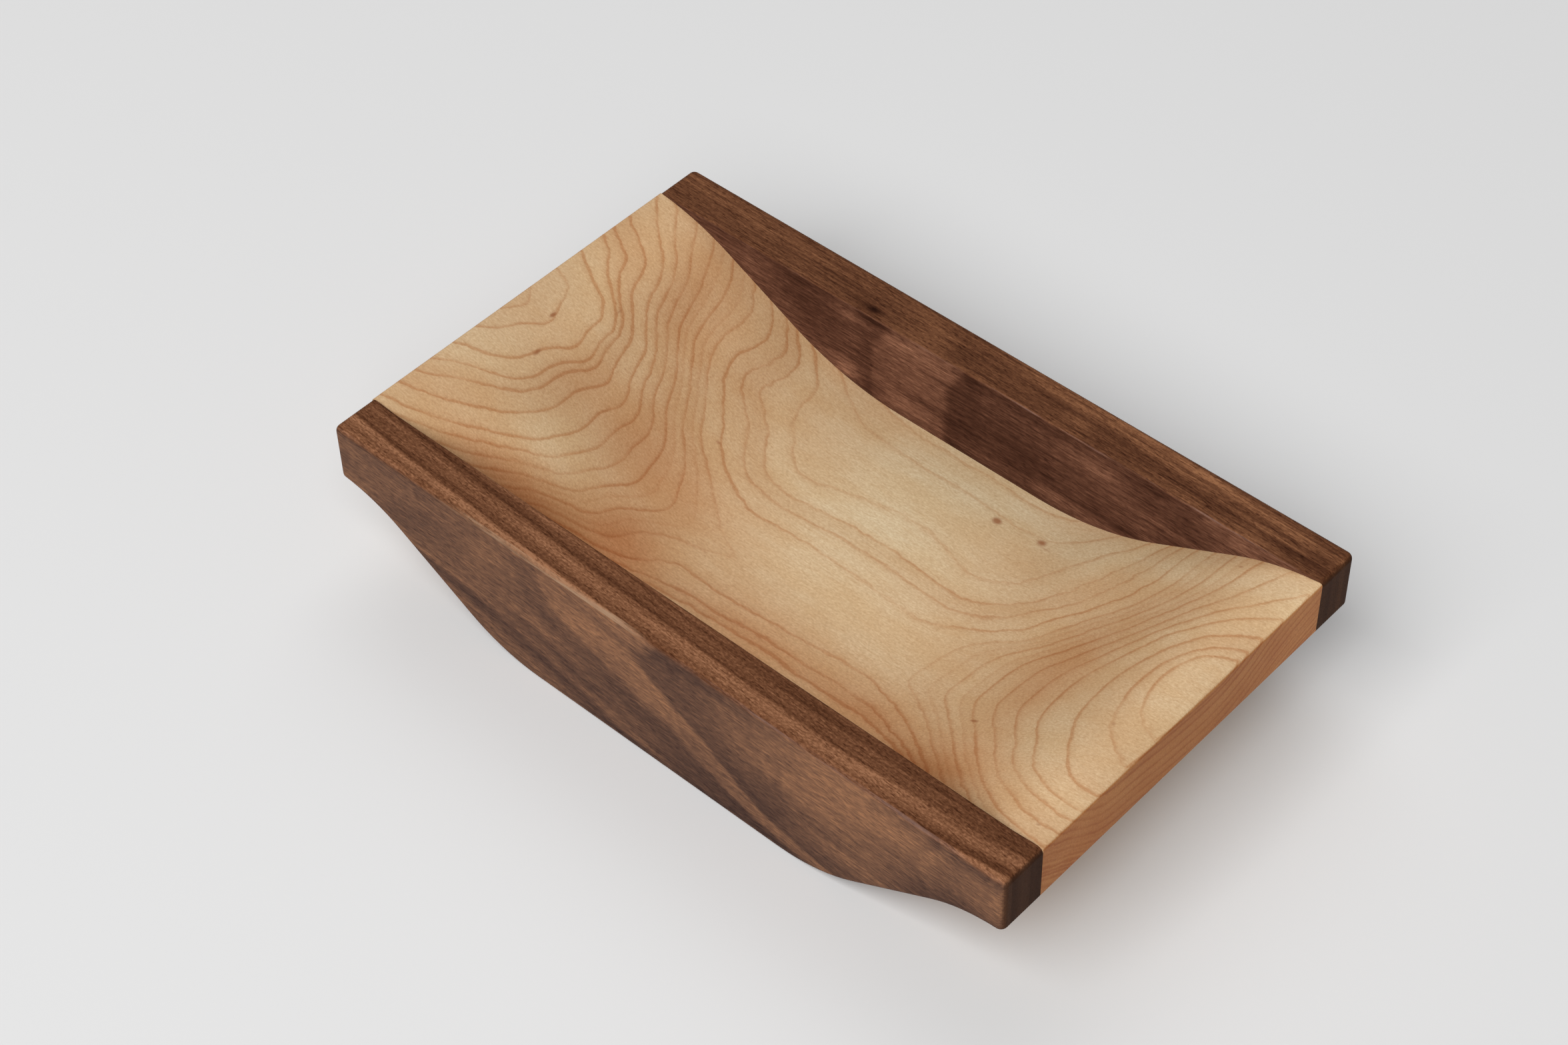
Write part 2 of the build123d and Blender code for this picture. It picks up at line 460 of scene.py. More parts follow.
def climb_rate(graph, slope, normal):
    """How fast the ring's height changes along the surface."""
    climb = graph.vector("SUBTRACT", (0.0, 0.0, 1.0), slope)
    through = graph.scaled(normal, graph.vector("DOT_PRODUCT", climb, normal))
    along = graph.vector("SUBTRACT", climb, through)
    return graph.math("MAXIMUM", graph.vector("LENGTH", along), SLOWEST_RATE)


def ring_lines(graph, place, height, rate):
    """How strong the ring line is at a place, and the count of rings there."""
    count = graph.group(RING_COUNT, Height=height)["Count"]
    above = graph.group(RING_COUNT, Height=graph.math("ADD", height, RING_PROBE))["Count"]
    below = graph.group(RING_COUNT, Height=graph.math("SUBTRACT", height, RING_PROBE))["Count"]
    spacing = graph.math("DIVIDE", 2 * RING_PROBE, graph.math("SUBTRACT", below, above))

    # In millimetres along the surface, above 0 on the upper side of the line
    nearest = graph.math("ROUND", count)
    width = graph.math("DIVIDE", spacing, rate)
    aside = graph.math("MULTIPLY", graph.math("SUBTRACT", nearest, count), width)
    core = graph.math("MULTIPLY", graph.ease(aside, *LINE_RISE), graph.ease(aside, *LINE_FALL))
    veil = graph.math("MULTIPLY", graph.ease(aside, *VEIL_RISE), graph.ease(aside, *VEIL_FALL))

    depths = [OTHER_RINGS, *(depth for _, depth, _ in MAPLE_RINGS), OTHER_RINGS]
    stops = [(number / RAMP_RINGS, depth) for number, depth in enumerate(depths)]
    at = graph.math("DIVIDE", graph.math("ADD", nearest, 1.0 + RAMP_MARGIN), RAMP_RINGS)
    patchy = graph.noise(place, LINE_NOISE)
    strength = graph.product(
        graph.ramp(at, stops, "CONSTANT"),
        graph.ease(patchy, *LINE_NOISE_FADE),
        graph.ease(rate, *SLOW_FADE),
    )
    return graph.math("MULTIPLY", graph.math("ADD", core, veil), strength), count


def ring_band(graph, count):
    """How much lighter or darker the wood is between the ring lines."""
    tones = [0, *(tone for _, _, tone in MAPLE_RINGS), 0]
    stops = [((number + 0.5) / RAMP_RINGS, 0.5 + tone / TONE_RANGE) for number, tone in enumerate(tones)]
    band = graph.ramp(graph.math("DIVIDE", graph.math("ADD", count, 1.0), RAMP_RINGS), stops)
    return graph.math("MULTIPLY", graph.math("SUBTRACT", band, 0.5), TONE_RANGE)


def maple_colour(graph, place, flat, normal, band, fibres, rays):
    """The wood's colour without ring lines: pale, with warm clouds, fine fibres, small rays and soft
    warmer and lighter patches, which along the near rail are painted warm shade and painted light in
    its shadow. flat is the bent place without its height."""
    clouds = graph.noise(place, CLOUDS)
    colour = graph.mix(graph.ease(clouds, *CLOUDS_FADE), PALE_MAPLE, CLOUDY_MAPLE)
    colour = graph.mix(graph.ease(fibres, *MAPLE_FIBRES_FADE), colour, FIBRE_COLOUR)
    colour = graph.mix(graph.math("MULTIPLY", rays, RAYS_SHARE), colour, RAY_COLOUR)
    normal_z = graph.split(normal)[2]
    # Warmer, darker patches; along the near rail they are painted warm shade in its shadow
    warm_tone_and_shade = add_patches(graph, flat, WARM_TONE_AND_PAINTED_SHADE_PATCHES)
    warm_tone_and_shade = graph.math("MULTIPLY", warm_tone_and_shade, graph.ease(normal_z, *UNDERSIDE_FADE))
    # Lighter patches; along the near rail they are painted light that lifts its shadow
    light = add_patches(graph, flat, LIGHT_TONE_AND_PAINTED_LIGHT_PATCHES)
    stipple = graph.swing(place, STIPPLE)
    tints = ((warm_tone_and_shade, WARMTH), (light, LIGHTNESS), (band, BAND_TINT), (stipple, STIPPLE_TINT))
    return graph.filtered(tinted(graph, colour, *tints), MAPLE_TINT)


def make_maple():
    material, graph, shader, place, normal = start_material("maple_oiled")
    bent = graph.vector("ADD", place, graph.wobble(place, MAPLE_WOBBLE, MAPLE_WOBBLE_REACH))
    bent = graph.vector("ADD", bent, graph.wobble(place, FINE_WOBBLE, FINE_WOBBLE_REACH))
    x, y, z = graph.split(bent)
    flat = graph.join(x, y, 0.0)
    bend, slope = bowl(graph, x, y)
    bend, slope = add_swells(graph, flat, MAPLE_SWELLS, bend, slope)
    rate = climb_rate(graph, slope, normal)
    line, count = ring_lines(graph, place, graph.math("SUBTRACT", z, bend), rate)

    fibres = graph.noise(place, MAPLE_FIBRES)
    rays = graph.ease(graph.noise(place, RAYS), *RAYS_FADE)
    colour = maple_colour(graph, place, flat, normal, ring_band(graph, count), fibres, rays)
    colour = graph.mix(line, colour, graph.filtered(colour, LINE_TINT))
    marks = add_patches(graph, place, [(*fleck[:5], FLECK_DEPTH, fleck[5]) for fleck in FLECKS])
    colour = graph.mix(graph.ease(marks, *FLECK_FADE), colour, FLECK_COLOUR)

    # End grain drinks more oil and is darker
    is_end = graph.ease(graph.math("ABSOLUTE", graph.split(normal)[0]), *MAPLE_END_FADE)
    colour = graph.mix(is_end, colour, graph.filtered(colour, END_GRAIN_TINT))

    relief = graph.math("MULTIPLY", rays, RAYS_RELIEF)
    relief = graph.math("MULTIPLY_ADD", fibres, FIBRES_RELIEF, relief)
    relief = graph.math("MULTIPLY_ADD", line, LINE_RELIEF, relief)
    graph.feed(shader.inputs["Normal"], graph.bump(relief, MAPLE_BUMP_STRENGTH, MAPLE_BUMP_MM))
    graph.feed(shader.inputs["Base Color"], colour)
    roughness = graph.math("MULTIPLY_ADD", fibres, FIBRES_ROUGHNESS, MAPLE_ROUGHNESS)
    graph.feed(shader.inputs["Roughness"], roughness)
    shader.inputs["Specular IOR Level"].default_value = MAPLE_SPECULAR
    return material


# Walnut: how much lighter or darker a spot is than the rail's middle colour, as a power of e.
# On the sides the rings make bands along a bend over x and z, and on top they run along a line
# that drifts in depth. Soft patches, fibres, streaks and pores come on top of the bands.
# The bend's terms are for u = x / 50 and v = (z - 20) / 20: 1, u, v, uu, uv, vv, uuu, uuv, uvv.
# The drift's terms are for the powers of u.
BEND_LENGTH = 50.0
BEND_MIDDLE = 20.0
BEND_RISE = 20.0
NEAR_LOOK = {
    "side_colour": srgb(111, 79, 61),
    "side_tint": (1.05, 1.0, 0.75),
    "side_grain": 1.1,
    "long_pores": 0.0,
    "bend": (-8.5, 11.5, 3.13, 3.49, 1.2, -7.44, 1.25, 2.78, -3.42),
    "swells": (
        (7.8, 41.5, 31.7, 10.2, 25.0), (0.9, 40.9, 11.8, 7.6, -11.7), (49.8, 20.8, 14.6, 8.6, 15.6),
        (-90.0, 22.6, 30.6, 6.7, 7.6),
    ),
    "side_bands": (
        (-25.0, -0.05), (-22.5, 0.08), (-21.0, -0.16), (-19.0, -0.50), (-17.2, 0.04), (-16.2, 0.02),
        (-14.9, -0.26), (-13.0, -0.02), (-9.5, -0.30), (-7.4, -0.18), (-6.4, 0.22), (-3.0, 0.28),
        (-0.7, 0.26), (0.6, -0.28), (3.0, -0.34), (13.0, -0.03), (17.0, 0.25), (25.0, 0.21),
        (29.0, 0.07), (41.0, -0.01), (47.0, 0.18), (60.0, -0.20), (75.0, 0.10), (90.0, -0.10),
    ),
    "side_steps": (),
    "side_patches": (
        # Left of the middle
        (-103.3, 24.5, 3.8, 5.4, 0.56), (-81.6, 20.8, 28.9, 1.6, 0.3), (-62.0, 36.0, 10.0, 4.0, 0.16),
        (-40.1, 33.9, 24.6, 6.2, 0.2), (-40.0, 41.5, 4.0, 1.5, 0.30), (-31.0, 22.0, 8.0, 3.0, 0.13),
        (-29.0, 39.0, 6.5, 3.2, -0.26), (-16.1, 13.0, 13.8, 3.6, -0.19),
        # Right of the middle
        (9.9, 1.7, 37.8, 0.6, -0.3), (10.0, 16.0, 6.0, 5.0, -0.12), (21.5, 40.8, 13.2, 1.7, -0.36),
        (28.2, 4.4, 18.4, 5.9, -0.42), (30.0, 9.0, 6.0, 4.0, -0.10), (35.4, 7.4, 13.2, 2.7, 0.27),
        (38.3, 26.4, 15.9, 2.7, 0.27), (39.7, 22.0, 4.9, 5.7, -0.26), (46.9, 43.4, 16.0, 5.3, 0.25),
        (51.7, 17.5, 8.1, 2.2, -0.31), (81.2, 34.6, 15.9, 3.4, 0.22), (82.9, 14.3, 7.4, 4.8, -0.73),
        (103.1, 41.4, 20.2, 1.1, -0.3), (106.6, 22.4, 15.4, 3.2, -1.0),
    ),
    # How strong the patches and steps are at the outer and at the inner face
    "side_marks": (1.0, 0.4),
    "top_colour": srgb(114, 74, 50),
    "top_tint": (0.85, 1.0, 1.1),
    "top_grain": 1.05,
    # The share of dots instead of fibres on top, and the strength of both
    "top_dots": (1.0, 2.3),
    "drift": (6.78, -2.31, 0.45, 0.31, 0.12),
    "top_bands": (
        (-11.0, 0.17), (-9.5, 0.13), (-8.0, 0.54), (-7.4, 0.66), (-6.9, 0.53), (-6.5, 0.20),
        (-6.1, -0.42), (-5.7, -0.36), (-5.0, -0.12), (-3.5, 0.25), (-2.0, 0.38), (-0.6, 0.16),
        (-0.1, -0.20), (0.3, -0.50), (0.8, -0.28), (1.5, -0.16), (3.0, -0.02), (3.8, -0.09),
        (4.5, -0.50), (5.0, -0.34), (7.0, -0.27),
    ),
    "top_patches": (
        # Left of the middle
        (-114.5, -1.5, 57.9, 2.0, -0.37), (-90.7, -6.3, 7.8, 0.5, -0.37), (-74.8, 4.0, 29.9, 1.3, 0.6),
        (-39.3, 0.1, 34.6, 0.5, -0.15), (-35.4, -2.4, 14.6, 1.5, 0.3), (-20.0, -7.0, 24.5, 1.1, 0.35),
        (-3.7, 5.2, 25.5, 0.5, 0.6),
        # Right of the middle
        (23.5, -1.4, 25.5, 1.9, 0.23), (29.7, 5.0, 24.9, 0.6, -0.36), (62.8, -0.9, 5.4, 1.4, 0.21),
        (76.3, 0.0, 10.9, 0.6, 0.39), (92.0, -5.0, 14.0, 0.7, -0.28), (95.0, 3.0, 10.0, 1.0, -0.18),
        (95.0, -1.0, 8.0, 0.8, -0.12), (106.3, 2.8, 16.9, 0.9, -0.36),
    ),
    "end_colour": srgb(67, 42, 28),
    "edge_wear": 0.9,
    "spots": (),
}
FAR_LOOK = {
    "side_colour": srgb(101, 67, 52),
    "side_tint": (0.88, 1.0, 1.0),
    "side_grain": 1.3,
    "long_pores": -0.42,
    # These terms make the bend the height z itself
    "bend": (BEND_MIDDLE, 0.0, BEND_RISE, 0.0, 0.0, 0.0, 0.0, 0.0, 0.0),
    "swells": (),
    "side_bands": (
        (15.0, -0.09), (16.0, -0.09), (17.0, 0.12), (18.0, 0.21), (21.0, 0.11), (22.0, -0.02),
        (25.0, -0.05), (27.0, 0.05), (29.5, -0.01), (33.0, 0.10), (35.0, 0.06), (38.0, 0.22),
        (40.0, 0.13), (42.0, -0.02),
    ),
    # Where the tone steps up or down along the rail
    "side_steps": (
        (-62.5, -0.13), (-36.5, -0.08), (-32.0, 0.46), (-7.5, -0.63), (26.0, 0.23), (47.0, -0.02),
        (66.0, 0.22),
    ),
    "side_patches": (
        # Left of the light stretch
        (-71.0, 38.2, 5.6, 5.8, 0.35), (-60.3, 28.5, 2.5, 3.3, 0.38), (-57.9, 40.4, 13.6, 6.5, -0.42),
        (-40.4, 19.8, 4.2, 1.7, 0.74), (-39.9, 45.7, 2.5, 12.3, 0.31), (-37.2, 22.7, 22.5, 1.3, 0.46),
        # The light stretch and its borders
        (-34.1, 40.2, 8.4, 1.3, 0.52), (-32.9, 19.5, 3.7, 3.9, -0.49), (-30.7, 42.0, 4.7, 2.7, -0.77),
        (-19.1, 38.9, 9.1, 2.5, 0.35), (-12.2, 23.5, 8.8, 0.9, -0.52), (-5.8, 19.2, 4.1, 2.3, -0.32),
        # Right of it
        (-0.4, 39.9, 2.5, 15.0, -0.27), (5.0, 17.0, 5.3, 0.8, 0.36), (11.0, 36.0, 8.0, 4.0, 0.12),
        (23.2, 25.6, 3.1, 7.4, 0.45), (23.3, 26.5, 5.4, 4.1, -0.4), (28.4, 19.4, 5.6, 0.9, 0.34),
        (39.1, 37.1, 6.1, 1.9, 0.35), (45.0, 34.0, 7.0, 8.0, 0.15), (47.2, 22.2, 22.8, 0.9, -0.41),
        (54.5, 39.7, 4.7, 2.7, -0.37), (55.6, 20.9, 2.5, 3.5, 0.6), (64.2, 30.8, 17.4, 0.8, 0.3),
        (68.7, 29.0, 2.5, 14.4, -0.29), (70.0, 36.0, 5.0, 2.0, -0.22), (70.0, 41.2, 5.0, 1.4, 0.25),
        (82.4, 39.1, 2.8, 1.3, 0.37), (92.8, 41.6, 19.4, 0.8, 0.28),
    ),
    "side_marks": (0.25, 1.0),
    "top_colour": srgb(108, 69, 46),
    "top_tint": (0.87, 1.0, 1.0),
    "top_grain": 1.15,
    "top_dots": (0.5, 2.3),
    "drift": (4.54, 1.34, 1.0, -0.02, -0.11),
    "top_bands": (
        (-8.0, -0.10), (-7.0, -0.24), (-6.5, -0.09), (-5.5, 0.37), (-4.8, 0.48), (-4.0, 0.36),
        (-3.5, 0.14), (-3.0, 0.04), (-2.0, 0.13), (-1.0, 0.09), (0.0, -0.10), (0.5, -0.15),
        (1.2, -0.04), (3.0, -0.10), (4.0, 0.00), (5.5, -0.15), (7.0, -0.04), (9.0, -0.03),
    ),
    "top_patches": (
        # Left of the middle
        (-71.0, 0.8, 42.8, 0.9, 0.4), (-40.6, 2.8, 8.1, 2.1, -0.21), (-37.8, -0.3, 23.1, 0.8, -0.22),
        (-35.1, 7.0, 3.4, 1.2, -0.5), (-16.2, 0.2, 11.6, 0.7, 0.37), (-15.3, 6.1, 5.0, 4.0, 0.41),
        (-9.9, -1.3, 9.8, 6.5, -0.34),
        # Right of the middle
        (27.9, 1.0, 11.5, 0.7, -0.54), (30.0, 2.6, 2.9, 2.5, 0.45), (33.0, -2.1, 27.6, 0.8, 0.29),
        (39.4, 3.7, 12.5, 0.6, -0.31), (45.0, -2.0, 12.0, 1.5, 0.12), (66.2, 2.9, 7.6, 6.4, 0.37),
        (70.9, 1.2, 13.5, 1.7, -0.65), (77.4, -1.6, 14.3, 0.9, -0.34), (83.9, 3.9, 4.6, 4.2, 0.58),
        (87.5, -2.6, 12.4, 0.5, -0.43), (89.0, -0.7, 11.1, 0.6, 0.75), (92.0, -4.5, 12.0, 1.5, 0.25),
        (96.6, 0.0, 11.0, 0.7, -0.68), (101.0, -3.7, 3.0, 3.0, -0.43),
    ),
    "end_colour": srgb(71, 43, 25),
    "edge_wear": 0.0,
    # The small knot: a dark heart and a softer ring around it
    "spots": ((-33.5, 53.6, 43.0, 1.0, 0.7, 4.0, -1.3), (-34.0, 53.4, 43.0, 2.8, 1.4, 5.0, -0.35)),
}
# How many millimetres of bend one millimetre of depth into a rail counts for
DEPTH_RATE = 2.5
# The depths between which the side marks change from the outer face's strength to the inner face's
MARKS_START, MARKS_END = 2.0, 11.0
# A step is this soft to either side, and leans to the right towards the top
STEP_SOFTNESS = 1.5
STEP_LEAN = (32.0, 46.0, 0.0, 7.0)
# How much lower, and further to the near side, the pores lie for each millimetre along the rail
PORE_SLANT = 0.10
# The reflection in the sides takes some of the bands' strength, and this gives it back
SIDE_GAIN = 1.15
END_TONE_SHARE = 0.5
MOST_TONE = 0.9

WALNUT_WOBBLE, WALNUT_WOBBLE_REACH = ((14.0, 3.0, 3.0), 0.0, 4.0, 0.5), (3.0, 0.6, 0.8)
WALNUT_FIBRES = ((2.4, 0.48, 0.48), 0.0, 2.5, 0.6)
DOTS = ((1.0, 0.5, 0.5), 30.0, 2.0, 0.6)
STREAKS = ((18.0, 0.7, 0.7), 50.0, 3.0, 0.6)
PORES, PORES_FADE = ((3.6, 0.30, 0.30), 9.0, 1.0, 0.5), (0.57, 0.70)
LONG_PORES, LONG_PORES_FADE = ((15.0, 0.42, 0.42), 70.0, 1.0, 0.5), (0.52, 0.66)
# Threads are noise over x and the bend or the level, and their third number only shifts them
SIDE_THREADS = ((26.0, 2.4, 1.0), 0.0, 2.0, 0.5)
TOP_THREADS = ((26.0, 0.8, 1.0), 0.0, 3.0, 0.5)
# The strength of each on the sides and on top
FIBRES_ON_SIDE = 1.5
STREAKS_ON_SIDE, STREAKS_ON_TOP = 0.9, 1.3
PORES_ON_SIDE, PORES_ON_TOP = -0.35, -0.60
THREADS_ON_SIDE, THREADS_ON_TOP = 0.55, 0.7

TOP_FADE = (0.30, 0.80)
WALNUT_END_FADE = (0.45, 0.98)
# The colour of the painted sheen, a painted highlight on the eased edges
PAINTED_EDGE_SHEEN = srgb(138, 112, 104)
PAINTED_SHEEN_SLOPE, PAINTED_SHEEN_STREAKS, PAINTED_SHEEN_ALONG = (0.36, 0.50), (0.40, 0.66), (-40.0, 40.0, 0.15, 0.45)
WORN_EDGE = srgb(160, 130, 104)
WEAR_START, WEAR_END, WEAR_DEPTH = (-75.0, -45.0), (-8.0, 2.0, 1.0, 0.0), (2.0, 3.0, 1.0, 0.0)
WEAR_SLOPE, WEAR_STREAKS = (0.25, 0.42), (0.42, 0.58, 0.30, 1.0)

WALNUT_BUMP_STRENGTH, WALNUT_BUMP_MM = 0.5, 0.05
WALNUT_FIBRES_RELIEF = 0.5
WALNUT_ROUGHNESS, PORES_ROUGHNESS = 0.45, 0.2
WALNUT_SPECULAR = 0.02


def polynomial(graph, x, z, terms):
    """The bend over x and z. The terms are in the order that the comment on the walnut gives."""
    total, *factors = terms
    u = graph.math("DIVIDE", x, BEND_LENGTH)
    v = graph.math("DIVIDE", graph.math("SUBTRACT", z, BEND_MIDDLE), BEND_RISE)
    uu = graph.math("MULTIPLY", u, u)
    uv = graph.math("MULTIPLY", u, v)
    vv = graph.math("MULTIPLY", v, v)
    uuu = graph.math("MULTIPLY", uu, u)
    uuv = graph.math("MULTIPLY", uu, v)
    uvv = graph.math("MULTIPLY", uv, v)
    for value, factor in zip((u, v, uu, uv, vv, uuu, uuv, uvv), factors):
        total = graph.math("MULTIPLY_ADD", value, factor, total)
    return total


def powers(graph, value, terms):
    """The sum of the terms times the value's powers."""
    total = terms[-1]
    for term in reversed(terms[:-1]):
        total = graph.math("MULTIPLY_ADD", total, value, term)
    return total


def side_bend(graph, x, z, depth, look):
    """Which of the side's bands a place lies in."""
    bend = polynomial(graph, x, z, look["bend"])
    bend, _ = add_swells(graph, graph.join(x, z, 0.0), look["swells"], bend, (0.0, 0.0, 0.0))
    if look["swells"]:
        bend = graph.math("MULTIPLY_ADD", depth, DEPTH_RATE, bend)
    return bend


def side_tone(graph, x, z, depth, bend, look, shift):
    """The tone of the bands, steps, patches and threads on the sides."""
    marks = add_patches(graph, graph.join(x, z, 0.0), look["side_patches"])
    leaning = graph.math("SUBTRACT", x, graph.ease(z, *STEP_LEAN))
    for edge, amount in look["side_steps"]:
        step = graph.ease(leaning, edge - STEP_SOFTNESS, edge + STEP_SOFTNESS, 0.0, amount)
        marks = graph.math("ADD", marks, step)
    share = graph.ease(depth, MARKS_START, MARKS_END, *look["side_marks"])
    tone = graph.math("MULTIPLY_ADD", marks, share, graph.profile(bend, look["side_bands"]))
    threads = graph.swing(graph.join(x, bend, shift), SIDE_THREADS)
    return graph.math("MULTIPLY_ADD", threads, THREADS_ON_SIDE, tone)


def top_tone(graph, x, depth, look, shift):
    """The tone of the bands, patches and threads on top."""
    drift = powers(graph, graph.math("DIVIDE", x, BEND_LENGTH), look["drift"])
    level = graph.math("SUBTRACT", depth, drift)
    tone = graph.profile(level, look["top_bands"])
    tone = add_patches(graph, graph.join(x, level, 0.0), look["top_patches"], tone)
    threads = graph.swing(graph.join(x, level, shift), TOP_THREADS)
    return graph.math("MULTIPLY_ADD", threads, THREADS_ON_TOP, tone)


def grain_tone(graph, place, is_top, fibres, streaks, pores, look, shift):
    """The tone of the fibres, streaks and pores, which all run along the rail."""
    dots_share, top_strength = look["top_dots"]
    dots = graph.noise(place, DOTS, shift)
    fine = graph.between(graph.math("MULTIPLY", is_top, dots_share), fibres, dots)
    fine = graph.math("SUBTRACT", fine, 0.5)
    grain = graph.math("MULTIPLY", fine, graph.between(is_top, FIBRES_ON_SIDE, top_strength))
    streaked = graph.math("SUBTRACT", streaks, 0.5)
    strength = graph.between(is_top, STREAKS_ON_SIDE, STREAKS_ON_TOP)
    grain = graph.math("MULTIPLY_ADD", streaked, strength, grain)
    grain = graph.math("MULTIPLY_ADD", pores, graph.between(is_top, PORES_ON_SIDE, PORES_ON_TOP), grain)
    grain = graph.math("MULTIPLY", grain, graph.between(is_top, look["side_grain"], look["top_grain"]))
    long_pores = graph.ease(graph.noise(place, LONG_PORES, shift), *LONG_PORES_FADE)
    grain = graph.math("MULTIPLY_ADD", long_pores, look["long_pores"], grain)
    return add_patches(graph, place, look["spots"], grain)


def walnut_colour(graph, side, top, grain, is_top, normal_x, look):
    """The colour of a tone on the sides, on top and on the ends."""
    side = graph.math("MULTIPLY_ADD", side, SIDE_GAIN, grain)
    top = graph.math("MINIMUM", graph.math("ADD", top, grain), MOST_TONE)
    side_colour = tinted(graph, look["side_colour"][:3], (side, look["side_tint"]))
    top_colour = tinted(graph, look["top_colour"][:3], (top, look["top_tint"]))
    end_tone = graph.math("MULTIPLY", top, END_TONE_SHARE)
    end_colour = tinted(graph, look["end_colour"][:3], (end_tone, look["top_tint"]))
    is_end = graph.ease(graph.math("ABSOLUTE", normal_x), *WALNUT_END_FADE)
    return graph.mix(is_end, graph.mix(is_top, side_colour, top_colour), end_colour)


def painted_sheen_and_worn_edges(graph, colour, x, depth, slope, streaks, look):
    """A faint painted sheen, a painted highlight, on the eased long edges, broken up by the streaks, and
    a worn, paler stretch of the outer edge. The slope is largest in the middle of an eased edge."""
    # The painted sheen: a painted highlight along the middle of each eased edge
    sheen = graph.product(
        graph.ease(slope, *PAINTED_SHEEN_SLOPE),
        graph.ease(streaks, *PAINTED_SHEEN_STREAKS),
        graph.ease(x, *PAINTED_SHEEN_ALONG),
    )
    worn = graph.product(
        graph.ease(x, *WEAR_START),
        graph.ease(x, *WEAR_END),
        graph.ease(slope, *WEAR_SLOPE, 0.0, look["edge_wear"]),
        graph.ease(depth, *WEAR_DEPTH),
        graph.ease(streaks, *WEAR_STREAKS),
    )
    return graph.mix(worn, graph.mix(sheen, colour, PAINTED_EDGE_SHEEN), WORN_EDGE)


def make_walnut(name, outer_face, inward, look, shift):
    """outer_face is the y of the rail's outer face, and inward the way from it into the rail."""
    material, graph, shader, place, normal = start_material(name)
    wobble = graph.wobble(place, WALNUT_WOBBLE, WALNUT_WOBBLE_REACH, shift)
    x, y, z = graph.split(graph.vector("ADD", place, wobble))
    normal_x, normal_y, normal_z = graph.split(normal)
    depth = graph.math("MULTIPLY", graph.math("SUBTRACT", y, outer_face), inward)
    is_top = graph.ease(normal_z, *TOP_FADE)

    slant = graph.math("MULTIPLY", x, PORE_SLANT)
    slanted = graph.vector("ADD", place, graph.join(0.0, slant, slant))
    pores = graph.ease(graph.noise(slanted, PORES, shift), *PORES_FADE)
    fibres = graph.noise(place, WALNUT_FIBRES, shift)
    streaks = graph.noise(place, STREAKS, shift)
    grain = grain_tone(graph, place, is_top, fibres, streaks, pores, look, shift)
    bend = side_bend(graph, x, z, depth, look)
    side = side_tone(graph, x, z, depth, bend, look, shift)
    top = top_tone(graph, x, depth, look, shift)
    colour = walnut_colour(graph, side, top, grain, is_top, normal_x, look)
    slope = graph.math("MULTIPLY", graph.math("ABSOLUTE", normal_y), normal_z)
    # Painted sheen on the eased edges, and a paler worn stretch of the near rail's outer edge
    colour = painted_sheen_and_worn_edges(graph, colour, x, depth, slope, streaks, look)

    relief = graph.math("SUBTRACT", graph.math("MULTIPLY", fibres, WALNUT_FIBRES_RELIEF), pores)
    graph.feed(shader.inputs["Normal"], graph.bump(relief, WALNUT_BUMP_STRENGTH, WALNUT_BUMP_MM))
    graph.feed(shader.inputs["Base Color"], colour)
    roughness = graph.math("MULTIPLY_ADD", pores, PORES_ROUGHNESS, WALNUT_ROUGHNESS)
    graph.feed(shader.inputs["Roughness"], roughness)
    shader.inputs["Specular IOR Level"].default_value = WALNUT_SPECULAR
    return material


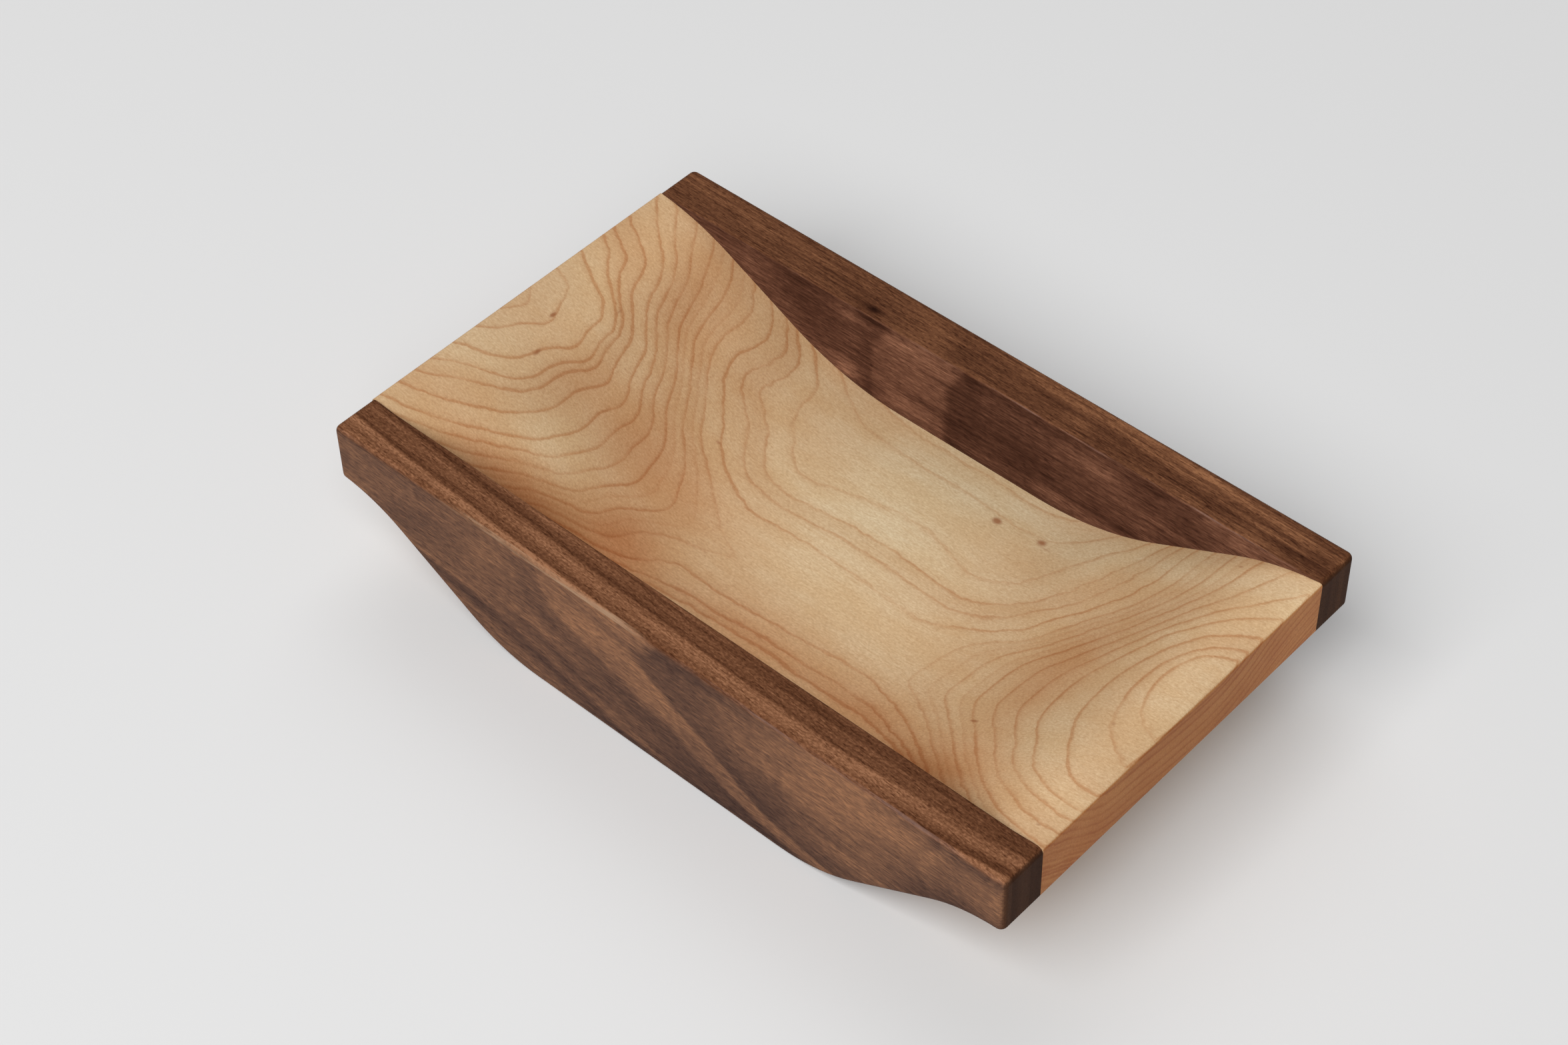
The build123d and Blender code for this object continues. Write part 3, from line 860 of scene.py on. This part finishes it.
def make_camera():
    azimuth, elevation = math.radians(AZIMUTH), math.radians(ELEVATION)
    back = Vector((
        math.sin(azimuth) * math.cos(elevation),
        -math.cos(azimuth) * math.cos(elevation),
        math.sin(elevation),
    ))
    right = Vector((0, 0, 1)).cross(back).normalized()
    up = back.cross(right)
    turn = Matrix.Rotation(ROLL, 3, back)
    axes = Matrix((turn @ right, turn @ up, back)).transposed()
    data = bpy.data.cameras.new("camera")
    data.sensor_width = SENSOR_MM
    data.lens = FOCAL_PIXELS / IMAGE_WIDTH * SENSOR_MM
    data.clip_start = CLIP_START
    camera = bpy.data.objects.new("camera", data)
    camera.matrix_world = Matrix.Translation(TARGET + back * DISTANCE) @ axes.to_4x4()
    bpy.context.scene.collection.objects.link(camera)
    bpy.context.scene.camera = camera


def make_floor():
    mesh = bpy.data.meshes.new("floor")
    corners = [(-1, -1), (1, -1), (1, 1), (-1, 1)]
    points = [(x * FLOOR_HALF, y * FLOOR_HALF, FLOOR_HEIGHT) for x, y in corners]
    mesh.from_pydata(points, [], [(0, 1, 2, 3)])
    floor = bpy.data.objects.new("floor", mesh)
    bpy.context.scene.collection.objects.link(floor)
    material = bpy.data.materials.new("floor_paper")
    material.use_nodes = True
    shader = material.node_tree.nodes["Principled BSDF"]
    shader.inputs["Base Color"].default_value = (FLOOR_SHADE, FLOOR_SHADE, FLOOR_SHADE, 1.0)
    shader.inputs["Roughness"].default_value = FLOOR_ROUGHNESS
    shader.inputs["Specular IOR Level"].default_value = FLOOR_SPECULAR
    mesh.materials.append(material)


def make_light():
    for name, place, width, height, watts in BANKS:
        light = bpy.data.lights.new(name, "AREA")
        light.shape = "RECTANGLE"
        light.size = width
        light.size_y = height
        light.energy = watts
        lamp = bpy.data.objects.new(name, light)
        lamp.location = place
        lamp.rotation_euler = (-place).to_track_quat("-Z", "Y").to_euler()
        bpy.context.scene.collection.objects.link(lamp)
    world = bpy.data.worlds.new("studio")
    bpy.context.scene.world = world
    world.use_nodes = True
    shade = (ROOM_BRIGHTNESS, ROOM_BRIGHTNESS, ROOM_BRIGHTNESS, 1.0)
    world.node_tree.nodes["Background"].inputs["Color"].default_value = shade
    bpy.context.scene.view_settings.view_transform = "Standard"


def dress(node, material):
    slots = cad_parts[node].data.materials
    slots.clear()
    slots.append(material)


make_camera()
make_floor()
make_light()
RAIL_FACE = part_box("far_rail")[1][1] * MM_PER_METRE
# The shift gives the far rail other fibres than the near rail
FAR_SHIFT = 300.0
dress("scooped_board", make_maple())
dress("near_rail", make_walnut("walnut_near", -RAIL_FACE, 1.0, NEAR_LOOK, 0.0))
dress("far_rail", make_walnut("walnut_far", RAIL_FACE, -1.0, FAR_LOOK, FAR_SHIFT))
